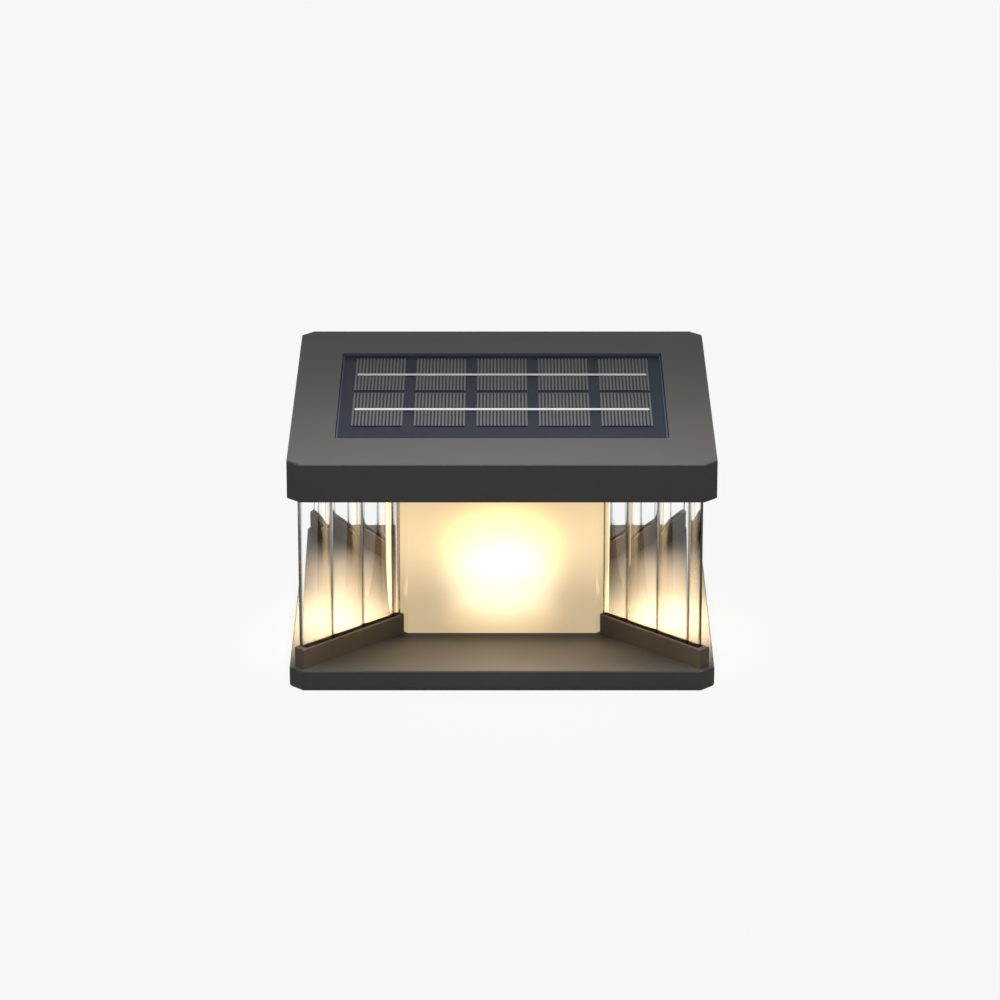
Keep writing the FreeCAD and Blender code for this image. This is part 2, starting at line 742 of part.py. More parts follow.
# ---------------------------------------------------------------- solar panel
def solar_cell_places():
    """Centres of the solar cells."""
    places = []
    for column in range(solar_columns):
        for row in range(solar_rows):
            x = (column - (solar_columns - 1) / 2) * solar_cell_pitch_x
            y = solar_cells_centre_y + (row - (solar_rows - 1) / 2) * solar_pitch_y
            places.append((x, y))
    return places


def make_solar_adhesive():
    top = recess_z + panel_adhesive
    sheet = panel_block(recess_z, top, adhesive_inset)
    return sheet.cut(centred_block(lead_slot_width, lead_slot_depth, recess_z, top, 0, lead_slot_y))


def make_solar_board():
    return panel_block(recess_z + panel_adhesive, panel_cells_z)


def make_solar_cells():
    sheets = [centred_block(solar_cell_width, solar_cell_depth, panel_cells_z, panel_bars_z, x, y)
              for x, y in solar_cell_places()]
    return Part.makeCompound(sheets)


def make_solar_busbars():
    span = (solar_columns - 1) * solar_cell_pitch_x + solar_cell_width + 2 * busbar_overhang
    rows = [solar_cells_centre_y + (row - (solar_rows - 1) / 2) * solar_pitch_y for row in range(solar_rows)]
    top = panel_bars_z + busbar_sheet
    bars = [centred_block(span, busbar_width, panel_bars_z, top, 0, y + busbar_shift_y) for y in rows]
    return Part.makeCompound(bars)


def make_solar_cover():
    """The clear sheet over the cells, with a small bevel round its top."""
    sheet = panel_block(panel_cover_z, panel_cover_z + panel_cover)
    return sheet.makeChamfer(panel_cover_bevel, edges_at(sheet, panel_cover_z + panel_cover, 0))


# ---------------------------------------------------------------- main board
def make_main_board():
    top = main_board_z + board_thickness
    board = centred_block(board_width, board_depth, main_board_z, top, 0, board_centre_y)
    for x, y in board_screw_places():
        board = board.cut(rod(small_screw_radius + hole_gap, main_board_z, top, x, y))
    return board


def make_board_components():
    """The charger's main parts: two chips, a coil, two capacitors and a lead socket."""
    z = main_board_z + board_thickness
    y = board_centre_y
    parts = [centred_block(chip_width, chip_depth, z, z + chip_height, -component_pitch, y),
             centred_block(small_chip_side, small_chip_side, z, z + small_chip_height, 0, y),
             centred_block(coil_side, coil_side, z, z + coil_height, component_pitch, y),
             centred_block(socket_width, socket_depth, z, z + socket_height, -2 * component_pitch, y)]
    for offset in (-capacitor_pitch / 2, capacitor_pitch / 2):
        parts.append(rod(capacitor_radius, z, z + capacitor_height, 2 * component_pitch, y + offset))
    return Part.makeCompound(parts)


def make_board_screws():
    one = hex_screw(small_screw_radius, board_screw_length, small_head_radius, small_head_height)
    return screws_at(one, board_screw_places(), main_board_z + board_thickness, True)


# ---------------------------------------------------------------- all pieces
def all_pieces():
    """Every piece of the lamp by name."""
    pieces = {
        "base_tray": make_base_tray(),
        "bottom_gasket": make_bottom_gasket(),
        "bottom_cover": make_bottom_cover(),
        "bottom_cover_screws": make_bottom_cover_screws(),
        "light_box": make_light_box(),
        "light_box_lower_seal": box_seal(floor_z - seal_thickness),
        "light_box_upper_seal": box_seal(ceiling_z),
        "mast": make_mast(),
        "mast_base_screws": make_mast_base_screws(),
        "mast_cap_screws": make_mast_cap_screws(),
        "leds": make_leds(),
        "led_board_screws": make_led_board_screws(),
        "battery_cell": make_cell(),
        "battery_leaf_contact": make_cell_leaf(),
        "battery_top_contact": make_cell_top_contact(),
        "switch_body": make_switch_body(),
        "power_button": make_power_button(),
        "ceiling_plate": make_ceiling_plate(),
        "cap_gasket": make_cap_gasket(),
        "cap_shell": make_cap_shell(),
        "cap_screws": make_cap_screws(),
        "solar_adhesive": make_solar_adhesive(),
        "solar_board": make_solar_board(),
        "solar_cells": make_solar_cells(),
        "solar_busbars": make_solar_busbars(),
        "solar_cover": make_solar_cover(),
        "main_board": make_main_board(),
        "board_components": make_board_components(),
        "board_screws": make_board_screws(),
    }
    for corner, angle in CORNERS.items():
        pieces["fin_rail_" + corner] = make_rail(angle)
        if corner in STAGGERED:
            pieces["fin_" + corner] = make_fin(angle, flute_stagger, -1)
        else:
            pieces["fin_" + corner] = make_fin(angle, 0.0, 1)
    for side, angle in SIDES.items():
        pieces["led_board_" + side] = make_led_board(angle)
    return pieces


os.makedirs("parts", exist_ok=True)
for name, shape in sorted(all_pieces().items()):
    solids = len(shape.Solids)
    print(f"{name}: {solids} solid(s), {shape.Volume:.1f} mm3, valid {shape.isValid()}")
    shape.exportStep(os.path.join("parts", name + ".step"))
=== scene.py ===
"""Looks of a deck post cap light: its finishes, clear fluted fins, solar fingers, screws and a plain studio."""

import math

import bmesh
import bpy
from bpy.props import FloatProperty, FloatVectorProperty, IntProperty, PointerProperty
from mathutils import Matrix, Vector


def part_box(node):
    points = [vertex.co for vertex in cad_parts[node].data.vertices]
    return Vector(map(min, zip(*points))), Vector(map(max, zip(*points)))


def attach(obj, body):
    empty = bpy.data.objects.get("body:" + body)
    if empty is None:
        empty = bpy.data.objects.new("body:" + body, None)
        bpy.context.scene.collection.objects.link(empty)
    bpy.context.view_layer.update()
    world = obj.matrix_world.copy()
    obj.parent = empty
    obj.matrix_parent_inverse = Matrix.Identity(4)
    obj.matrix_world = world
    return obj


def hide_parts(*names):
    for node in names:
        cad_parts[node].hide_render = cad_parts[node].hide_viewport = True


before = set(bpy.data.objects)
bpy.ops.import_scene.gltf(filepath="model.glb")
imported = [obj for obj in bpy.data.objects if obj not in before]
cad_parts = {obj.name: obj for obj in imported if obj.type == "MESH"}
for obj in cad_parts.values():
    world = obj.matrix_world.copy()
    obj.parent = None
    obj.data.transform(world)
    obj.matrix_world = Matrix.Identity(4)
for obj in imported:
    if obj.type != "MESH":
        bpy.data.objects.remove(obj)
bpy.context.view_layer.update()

bl_info = {
    "name": "Deck post cap light",
    "version": (1, 0, 0),
    "blender": (4, 5, 0),
    "location": "View3D > Sidebar > Post light",
    "description": "Dresses the CAD frame of a solar post cap light and sets up a plain studio",
    "category": "Object",
}

MM = 0.001
CORNERS = {"front_left": 225.0, "front_right": 315.0, "rear_right": 45.0, "rear_left": 135.0}
STAGGERED = ("front_right", "rear_left")
# lift above the hot spot's centre, half width and half height in centimetres, steepness, brightness
SPOTS = {
    "shelf": (1.03, 9.0, 2.0, 3.4, 0.36),
    "ring": (0.36, 1.98, 1.38, 3.8, 1.34),
    "foot": (-2.23, 2.07, 1.08, 6.0, 0.24),
    "core": (-0.92, 1.91, 1.51, 3.9, 0.71),
}
# the warm lamps over each side stage: place from front to rear in millimetres, share of the power, spread in degrees
SIDE_LAMPS = ((-26.0, 1.0, 84.0), (18.0, 0.22, 64.0))
SIDE_LAMP_REACH = 59.0 * MM
SIDE_LAMP_SIZE = (14 * MM, 40 * MM)
OFF_PLUMB = 1 * MM      # a target that isn't straight below keeps a lamp's sides square to the box
FACE_LAMP_SIZE = (74 * MM, 30 * MM)
FACE_LAMP_GAP = 1.5 * MM
FACE_LAMP_DROP = 8 * MM
FACE_LAMP_SPREAD = 150.0
GLOW_TONE = (1.0, 0.76, 0.47)
FROSTED_PAINT = (0.3, 0.27, 0.22)
SHEET_TONE = (0.985, 0.992, 0.99)
# painted shade: the dark tone laid along the fins' bends and ends
BEND_SHADE_TONE = (0.03, 0.024, 0.018)
BEND_REACH = 0.6 * MM
BEND_DEPTH = 0.97       # share of the painted bend shade right at a bend
FLOOR_REACH = 6.0
FLOOR_DROP = 0.2 * MM
EVEN_SHARE = 0.985      # of the floor's tone that is even; the rest is lit paint, which keeps the object's shadow


# ---------------------------------------------------------------- places read from the frame
def turned_box(node, degrees):
    """Lowest and highest corner of a CAD node, measured along a direction in plan."""
    turn = Matrix.Rotation(-math.radians(degrees), 4, "Z")
    points = [turn @ vertex.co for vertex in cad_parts[node].data.vertices]
    low = Vector([min(point[axis] for point in points) for axis in range(3)])
    high = Vector([max(point[axis] for point in points) for axis in range(3)])
    return low, high


def linear(colour):
    """A colour written as #rrggbb, as the linear colour that a shader takes."""
    values = [int(colour[index:index + 2], 16) / 255 for index in (1, 3, 5)]
    return [value / 12.92 if value <= 0.04045 else ((value + 0.055) / 1.055) ** 2.4 for value in values]


RAIL_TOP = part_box("fin_rail_front_left")[1].z
BOX_LOW, BOX_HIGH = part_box("light_box")
CELLS_LOW, CELLS_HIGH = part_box("solar_cells")


# ---------------------------------------------------------------- sizes and colours a user would change
def length(name, value, description):
    """A length in millimetres, kept in metres."""
    return FloatProperty(name=name, description=description, default=value * MM, unit="LENGTH", precision=5)


def number(name, value, description):
    return FloatProperty(name=name, description=description, default=value)


def tint(name, value, description):
    return FloatVectorProperty(name=name, description=description, default=linear(value), subtype="COLOR",
                               size=3, min=0.0, max=1.0)


class PostLightHousing(bpy.types.PropertyGroup):
    """The dark moulded slabs and rails."""

    slab: tint("Slab colour", "#3c3b3a", "Colour of the base and the cap")
    rail: tint("Rail colour", "#544b41", "Colour of the channel rails")
    grain: length("Grain", 0.35, "Size of the moulded surface's fine grain")
    roughness: number("Roughness", 0.46, "Roughness of the moulded surface")


class PostLightFins(bpy.types.PropertyGroup):
    """The four clear fluted fins."""

    pitch: length("Flute pitch", 14.9, "Distance from one valley to the next")
    rise: length("Flute rise", 1.3, "Height of a crest above its valleys")
    stagger: length("Stagger", 7.0, "How far the flutes of two opposite fins are shifted along")
    setback: length("Tongue setback", 3.7, "How far the tongue stops short of the outer edge")
    foot: length("Foot setback", 0.9, "How far the foot stops short of the inner edge")
    round: length("Valley rounding", 0.6, "Half width of the soft bend at a valley")
    thinning: length("Thinning", 0.3, "How much thinner the sheet is at a crest than at a valley")
    columns: IntProperty(name="Columns", description="Faces along a fin", default=460, min=40, max=1200)
    index: number("Refractive index", 1.49, "Of the clear sheet")


class PostLightGlow(bpy.types.PropertyGroup):
    """The frosted box and the light behind it."""

    centre: length("Hot spot height", 37.8, "Height of the hot spot's centre above the underside")
    strength: number("Strength", 1.0, "Brightness of the whole glow")
    edge: tint("Edge colour", "#ffdfa6", "Colour of the box near its edges")
    shelf: tint("Upper colour", "#ffdaa5", "Colour of the broad light under the ceiling")
    ring: tint("Ring colour", "#ffd376", "Colour of the ring round the hot spot")
    foot: tint("Foot colour", "#ffd898", "Colour of the light thrown below the hot spot")
    core: tint("Core colour", "#fff0d2", "Colour of the hot spot")
    edge_share: number("Edge brightness", 0.45, "Brightness of the box near its edges, where 1 is white")


class PostLightSolar(bpy.types.PropertyGroup):
    """The solar panel."""

    backing: tint("Backing colour", "#1c1f2b", "Colour of the panel's board")
    # painted light: the seal's blue is kept well above the board's to offset the shade in the gap round the panel
    seal: tint("Seal colour", "#3c4159", "Colour of the seal round the panel")
    silicon: tint("Silicon colour", "#131317", "Colour of the cells")
    finger: tint("Finger colour", "#5b5a5c", "Colour of the thin conductor lines")
    columns: IntProperty(name="Columns", description="Cells from left to right", default=5, min=1)
    rows: IntProperty(name="Rows", description="Cells from front to rear", default=2, min=1)
    cell_width: length("Cell width", 18.1, "Width of one cell")
    cell_depth: length("Cell depth", 36.3, "Depth of one cell")
    fingers: IntProperty(name="Fingers", description="Thin lines on each cell", default=15, min=2)
    finger_width: length("Finger width", 0.6, "Width of a thin line")
    finger_height: length("Finger height", 0.05, "Height of a thin line above the cell")
    edge: length("Edge seal", 0.6, "Width of the seal round the panel")
    edge_gap: length("Edge seal gap", 0.02, "Play above and below the seal")


class PostLightScrews(bpy.types.PropertyGroup):
    """The countersunk screws that can be seen from below."""

    head: length("Head radius", 2.3, "Radius of a head")
    shank: length("Shank radius", 1.25, "Radius of a shank")
    cone: length("Head height", 1.4, "Height of a head's cone")
    slot_length: length("Slot length", 2.6, "Length of the cross in a head")
    slot_width: length("Slot width", 0.55, "Width of the cross in a head")
    slot_depth: length("Slot depth", 0.8, "Depth of the cross in a head")


class PostLightStage(bpy.types.PropertyGroup):
    """The studio."""

    background: number("Background", 0.945, "Brightness of the floor and the backdrop, where 1 is white")
    ambient: number("Ambient", 0.17, "Light from all round")
    key: number("Key", 0.36, "Power of the lamp above the front, in watts")
    fill: number("Fill", 10.5, "Power of the lamp in front, in watts")
    front_glow: number("Front glow", 0.2, "Power of the warm lamps at the front and the rear of the box, in watts")
    side_glow: number("Side glow", 0.26, "Power of the warm lamps at the sides of the box, in watts")
    side_height: length("Side glow height", 50.0, "Height of the warm lamps at the sides")
    distance: length("Camera distance", 1746.8, "From the middle of the light to the camera")
    target: length("Camera target", 44.84, "Height that the camera looks at")
    elevation: number("Camera elevation", 19.95, "Angle above the horizon, in degrees")
    lens: number("Lens", 172.62, "Focal length in millimetres, on a 36 mm sensor")
    shift: number("Shift", -0.002, "Sideways shift of the picture")


GROUPS = {
    "housing": PostLightHousing,
    "fins": PostLightFins,
    "glow": PostLightGlow,
    "solar": PostLightSolar,
    "screws": PostLightScrews,
    "stage": PostLightStage,
}


def sizes(group):
    """The scene's property group of that name."""
    return getattr(bpy.context.scene, "post_light_" + group)


# ---------------------------------------------------------------- node trees as expressions
class Socket:
    """An output of a node.  An expression on it adds Math nodes."""

    def __init__(self, graph, output):
        self.graph = graph
        self.output = output

    def __add__(self, other):
        return self.graph.math("ADD", self, other)

    def __sub__(self, other):
        return self.graph.math("SUBTRACT", self, other)

    def __mul__(self, other):
        return self.graph.math("MULTIPLY", self, other)

    def __truediv__(self, other):
        return self.graph.math("DIVIDE", self, other)

    def __pow__(self, other):
        return self.graph.math("POWER", self, other)

    def __radd__(self, other):
        return self.graph.math("ADD", other, self)

    def __rmul__(self, other):
        return self.graph.math("MULTIPLY", other, self)

    def __neg__(self):
        return self.graph.math("MULTIPLY", self, -1.0)

    def __abs__(self):
        return self.graph.math("ABSOLUTE", self)

    def above(self, limit):
        """1 where the value is greater than a limit, else 0."""
        return self.graph.math("GREATER_THAN", self, limit)

    def below(self, limit):
        """1 where the value is less than a limit, else 0."""
        return self.graph.math("LESS_THAN", self, limit)


class Graph:
    """A shader or geometry tree, empty at first."""

    def __init__(self, tree):
        self.tree = tree
        tree.nodes.clear()

    def node(self, kind, settings=None, inputs=None, output=0):
        """Adds a node: first its settings, then the values or links of its inputs, by name or number."""
        made = self.tree.nodes.new(kind)
        for name, value in (settings or {}).items():
            setattr(made, name, value)
        for key, value in (inputs or {}).items():
            if isinstance(value, Socket):
                self.tree.links.new(value.output, made.inputs[key])
            else:
                made.inputs[key].default_value = value
        return Socket(self, made.outputs[output]) if made.outputs else None

    def math(self, operation, *values):
        return self.node("ShaderNodeMath", {"operation": operation}, dict(enumerate(values)))

    def parts(self, vector):
        """The three numbers of a vector."""
        split = self.node("ShaderNodeSeparateXYZ", None, {"Vector": vector}).output.node
        return [Socket(self, output) for output in split.outputs]

    def vector(self, x, y, z):
        return self.node("ShaderNodeCombineXYZ", None, {"X": x, "Y": y, "Z": z})

    def seen(self):
        """1 for rays from the camera and for those that glossy and clear surfaces send on, else 0."""
        path = self.node("ShaderNodeLightPath").output.node
        camera, glossy, clear = [Socket(self, path.outputs[ray]) for ray in
                                 ("Is Camera Ray", "Is Glossy Ray", "Is Transmission Ray")]
        return self.math("MAXIMUM", self.math("MAXIMUM", camera, glossy), clear)


class Finish(Graph):
    """A material in the making, with object coordinates."""

    def __init__(self, name):
        self.material = bpy.data.materials.new(name)
        self.material.use_nodes = True
        super().__init__(self.material.node_tree)
        self.place = self.node("ShaderNodeTexCoord", output="Object")

    def mix(self, factor, first, second, blend="MIX"):
        """Mixes two colours."""
        settings = {"data_type": "RGBA", "blend_type": blend}
        first, second = [colour if isinstance(colour, Socket) else (*colour, 1.0) for colour in (first, second)]
        return self.node("ShaderNodeMix", settings, {"Factor": factor, "A": first, "B": second}, "Result")

    def scaled(self, colour, factor):
        """A colour made brighter or darker by a varying factor."""
        return self.node("ShaderNodeVectorMath", {"operation": "SCALE"}, {"Vector": colour, "Scale": factor})

    def noise(self, size, detail=3.0, place=None, output="Fac"):
        """Noise whose largest features are about size metres across."""
        inputs = {"Vector": place or self.place, "Scale": 1.0 / size, "Detail": detail}
        return self.node("ShaderNodeTexNoise", None, inputs, output)

    def stretched(self, x, y, z):
        """Object coordinates scaled along each axis."""
        return self.node("ShaderNodeMapping", None, {"Vector": self.place, "Scale": (x, y, z)})

    def bump(self, height, distance, strength=1.0):
        return self.node("ShaderNodeBump", None, {"Height": height, "Distance": distance, "Strength": strength})

    def principled(self, **inputs):
        """A Principled shader; _ stands for a space in an input's name."""
        named = {}
        for name, value in inputs.items():
            is_colour = name in ("Base_Color", "Emission_Color") and not isinstance(value, Socket)
            named[name.replace("_", " ")] = (*value, 1.0) if is_colour else value
        return self.node("ShaderNodeBsdfPrincipled", None, named)

    def done(self, shader):
        """Sends a shader to the surface and gives the material."""
        self.node("ShaderNodeOutputMaterial", None, {"Surface": shader})
        return self.material


# ---------------------------------------------------------------- finishes
def moulded_plastic(name, colour, roughness, grain):
    """Dark moulded plastic: a fine grain, with slow changes of shade and gloss."""
    finish = Finish(name)
    slow = finish.noise(22 * MM, 4.0)
    fine = finish.noise(grain, 2.0)
    shade = 0.86 + slow * 0.22 + fine * 0.06
    bump = finish.bump(fine, 0.012 * MM, 0.5)
    return finish.done(finish.principled(Base_Color=finish.scaled(colour, shade), Normal=bump,
                                         Roughness=roughness - 0.05 + slow * 0.08 + fine * 0.03,
                                         Specular_IOR_Level=0.1))


def clear_sheet(name, index):
    """Clear cast sheet, polished, with the faintest haze, and painted shade: dark lines along its bends and ends
    that stand in for the light the flutes bend away.
    """
    finish = Finish(name)
    haze = finish.noise(9 * MM, 2.0) * 0.012
    from_bend = finish.node("ShaderNodeAttribute", {"attribute_name": "from_bend"}, None, "Fac")
    # painted shade: a dark line along each valley and each end of the sheet
    bend_shade = finish.math("EXPONENT", -((from_bend / BEND_REACH) ** 2.0)) * BEND_DEPTH
    tone = finish.mix(bend_shade, SHEET_TONE, BEND_SHADE_TONE)
    return finish.done(finish.principled(Base_Color=tone, Roughness=haze, IOR=index, Transmission_Weight=1.0))


def frosted_glow(glow):
    """The frosted box: lit from inside, hottest in the middle of each face, and darker to its corners."""
    finish = Finish("frosted_box")
    x, y, z = finish.parts(finish.place)
    across = finish.math("MINIMUM", abs(x), abs(y)) / (10 * MM)
    up = (z - glow.centre) / (10 * MM)

    light = finish.scaled(glow.edge, glow.edge_share)
    for name, (lift, half_width, half_height, steepness, brightness) in SPOTS.items():
        reach = (across / half_width) ** 2.0 + (abs(up - lift) / half_height) ** 2.0
        spot = finish.math("EXPONENT", -(reach ** (steepness / 2)))
        light = finish.mix(1.0, light, finish.scaled(getattr(glow, name), spot * brightness), "ADD")
    mottle = finish.noise(1.1 * MM, 2.0)
    grain = finish.bump(mottle, 0.01 * MM, 0.4)
    return finish.done(finish.principled(Base_Color=finish.scaled(FROSTED_PAINT, 0.97 + mottle * 0.06),
                                         Roughness=0.5 + mottle * 0.1, Normal=grain,
                                         Emission_Color=light, Emission_Strength=glow.strength))


def soft_rubber(name, colour):
    """Matt rubber with a slightly dusty surface."""
    finish = Finish(name)
    dust = finish.noise(2.5 * MM, 4.0)
    bump = finish.bump(finish.noise(0.4 * MM), 0.02 * MM, 0.6)
    return finish.done(finish.principled(Base_Color=finish.scaled(colour, 0.85 + dust * 0.3), Normal=bump,
                                         Roughness=0.72 + dust * 0.15))


def turned_metal(name, colour, roughness):
    """Plated metal with fine scratches."""
    finish = Finish(name)
    scratches = finish.noise(0.5 * MM, 4.0, finish.stretched(1.0, 0.15, 1.0))
    return finish.done(finish.principled(Base_Color=finish.scaled(colour, 0.88 + scratches * 0.24), Metallic=1.0,
                                         Roughness=roughness + scratches * 0.2,
                                         Normal=finish.bump(scratches, 0.01 * MM, 0.3)))


def cell_sleeve():
    """Shrink sleeve of the rechargeable cell: glossy, with faint rings where it shrank."""
    finish = Finish("cell_sleeve")
    rings = finish.noise(1.5 * MM, 2.0, finish.stretched(0.2, 0.2, 1.0))
    shade = finish.scaled((0.045, 0.17, 0.36), 0.9 + rings * 0.2)
    return finish.done(finish.principled(Base_Color=shade, Roughness=0.24 + rings * 0.12, Coat_Weight=0.3,
                                         Normal=finish.bump(rings, 0.03 * MM, 0.5)))


def printed_board(name, colour, track):
    """A lacquered circuit board with tracks that show as a slightly lighter net."""
    finish = Finish(name)
    cells = finish.node("ShaderNodeTexVoronoi", {"feature": "DISTANCE_TO_EDGE", "distance": "MANHATTAN"},
                        {"Vector": finish.place, "Scale": 1.0 / (2.2 * MM), "Randomness": 0.35}, "Distance")
    tracks = cells.below(0.09)
    bump = finish.bump(tracks, 0.02 * MM, 0.5)
    return finish.done(finish.principled(Base_Color=finish.mix(tracks, colour, track), Normal=bump,
                                         Roughness=0.32 + finish.noise(3 * MM) * 0.12))


def lamp_chip():
    """A white chip with its yellow phosphor, seen through a clear drop."""
    finish = Finish("lamp_chip")
    speckle = finish.noise(0.25 * MM, 3.0)
    colour = finish.mix(speckle, (0.95, 0.62, 0.12), (1.0, 0.82, 0.35))
    return finish.done(finish.principled(Base_Color=colour, Roughness=0.25 + speckle * 0.2,
                                         Emission_Color=finish.scaled((1.0, 0.72, 0.32), 0.8 + speckle * 0.2),
                                         Emission_Strength=2.0))


def solar_backing(name, colour):
    """The panel's board: dark blue laminate with a fine weave."""
    finish = Finish(name)
    x, y, _ = finish.parts(finish.place)
    weave = finish.math("SINE", x * (math.tau / (0.9 * MM))) * finish.math("SINE", y * (math.tau / (0.9 * MM)))
    slow = finish.noise(15 * MM, 3.0)
    shade = 0.96 + weave * 0.02 + slow * 0.06
    return finish.done(finish.principled(Base_Color=finish.scaled(colour, shade), Roughness=0.42 + slow * 0.08,
                                         Specular_IOR_Level=0.04, Normal=finish.bump(weave, 0.002 * MM, 0.1)))


def silicon(colour):
    """Dark silicon with faint crystal patches."""
    finish = Finish("solar_silicon")
    patches = finish.node("ShaderNodeTexVoronoi", None, {"Vector": finish.place, "Scale": 1.0 / (3 * MM)}, "Color")
    patch, _, _ = finish.parts(patches)
    shade = 0.88 + patch * 0.2 + finish.noise(0.8 * MM) * 0.08
    return finish.done(finish.principled(Base_Color=finish.scaled(colour, shade), Roughness=0.34 + patch * 0.06,
                                         Specular_IOR_Level=0.04))


def tinned(name, colour, roughness):
    """A tinned or printed conductor, with small pits."""
    finish = Finish(name)
    pits = finish.noise(0.6 * MM, 3.0)
    return finish.done(finish.principled(Base_Color=finish.scaled(colour, 0.9 + pits * 0.2), Metallic=0.1,
                                         Roughness=roughness + pits * 0.15, Specular_IOR_Level=0.1,
                                         Normal=finish.bump(pits, 0.01 * MM, 0.5)))


def panel_sheet(backing):
    """The thin clear sheet over the cells, with its upright edges printed in the board's colour made 3.4 times
    brighter: painted light against the shade in the narrow gap round it.
    """
    finish = Finish("panel_sheet")
    clear = finish.node("ShaderNodeBsdfTransparent", None, {"Color": (0.985, 0.985, 0.985, 1.0)})
    # painted light: the board's colour brightened 3.4 times, so the edges in the shaded gap don't read dark
    shade = finish.scaled(backing, 3.4 + finish.noise(1.2 * MM, 2.0) * 0.4)
    lit_printed_edge = finish.principled(Base_Color=shade, Roughness=0.5)
    _, _, upright = finish.parts(finish.node("ShaderNodeNewGeometry", output="Normal"))
    return finish.done(finish.node("ShaderNodeMixShader", None, {0: abs(upright).below(0.5), 1: clear, 2: lit_printed_edge}))


# ---------------------------------------------------------------- making pieces
def keep(piece, body, slot, *nodes):
    """Lets a finished piece ride on a body and stand for CAD nodes."""
    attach(piece, body)
    if nodes:
        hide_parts(*nodes)


def finish_nodes(material, *names):
    """Gives CAD nodes a finish."""
    for name in names:
        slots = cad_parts[name].data.materials
        for index in range(len(slots)):
            slots[index] = material


def nodes_like(start):
    """Names of the CAD nodes that begin with start and a corner or side."""
    return [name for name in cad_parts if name.startswith(start)]


class Recipe(Graph):
    """A geometry tree whose inputs are named sizes."""

    KINDS = {float: "NodeSocketFloat", int: "NodeSocketInt", bpy.types.Material: "NodeSocketMaterial"}

    def __init__(self, name, sizes_by_name):
        super().__init__(bpy.data.node_groups.new(name, "GeometryNodeTree"))
        self.values = sizes_by_name
        entries = self.tree.interface
        entries.new_socket("Geometry", in_out="OUTPUT", socket_type="NodeSocketGeometry")
        for label, value in sizes_by_name.items():
            entries.new_socket(label, in_out="INPUT", socket_type=self.KINDS[type(value)])
        start = self.node("NodeGroupInput").output.node
        self.inputs = {output.name: Socket(self, output) for output in start.outputs if output.name}

    def at(self):
        """The position of each point."""
        return self.node("GeometryNodeInputPosition")

    def moved(self, geometry, **inputs):
        """A geometry moved, turned or scaled as a whole."""
        return self.node("GeometryNodeTransform", None, {"Geometry": geometry, **inputs})

    def joined(self, *geometries):
        """Several geometries as one."""
        join = self.tree.nodes.new("GeometryNodeJoinGeometry")
        for geometry in geometries:
            self.tree.links.new(geometry.output, join.inputs[0])
        return Socket(self, join.outputs[0])

    def finished(self, geometry):
        """Ends the tree: instances made real, and the material set."""
        real = self.node("GeometryNodeRealizeInstances", None, {"Geometry": geometry})
        painted = self.node("GeometryNodeSetMaterial", None,
                            {"Geometry": real, "Material": self.inputs["Material"]})
        self.node("NodeGroupOutput", None, {"Geometry": painted})

    def build(self, name):
        """Runs the tree and gives its result as a plain mesh object."""
        carrier = bpy.data.objects.new(name + "_carrier", bpy.data.meshes.new(name + "_carrier"))
        bpy.context.scene.collection.objects.link(carrier)
        modifier = carrier.modifiers.new("recipe", "NODES")
        modifier.node_group = self.tree
        for entry in self.tree.interface.items_tree:
            if entry.in_out == "INPUT":
                modifier[entry.identifier] = self.values[entry.name]
        evaluated = carrier.evaluated_get(bpy.context.evaluated_depsgraph_get())
        mesh = bpy.data.meshes.new_from_object(evaluated)
        carrier.modifiers.remove(modifier)
        bpy.data.objects.remove(carrier)
        piece = bpy.data.objects.new(name, mesh)
        bpy.context.scene.collection.objects.link(piece)
        return piece


def tidy_mesh(piece, sharp_degrees=30.0):
    """Merges doubles, points the faces outwards, and shades all but the sharp edges smooth."""
    mesh = bmesh.new()
    mesh.from_mesh(piece.data)
    bmesh.ops.remove_doubles(mesh, verts=mesh.verts, dist=0.0005 * MM)
    bmesh.ops.recalc_face_normals(mesh, faces=mesh.faces)
    mesh.to_mesh(piece.data)
    mesh.free()
    piece.data.shade_smooth()
    piece.data.set_sharp_from_angle(angle=math.radians(sharp_degrees))


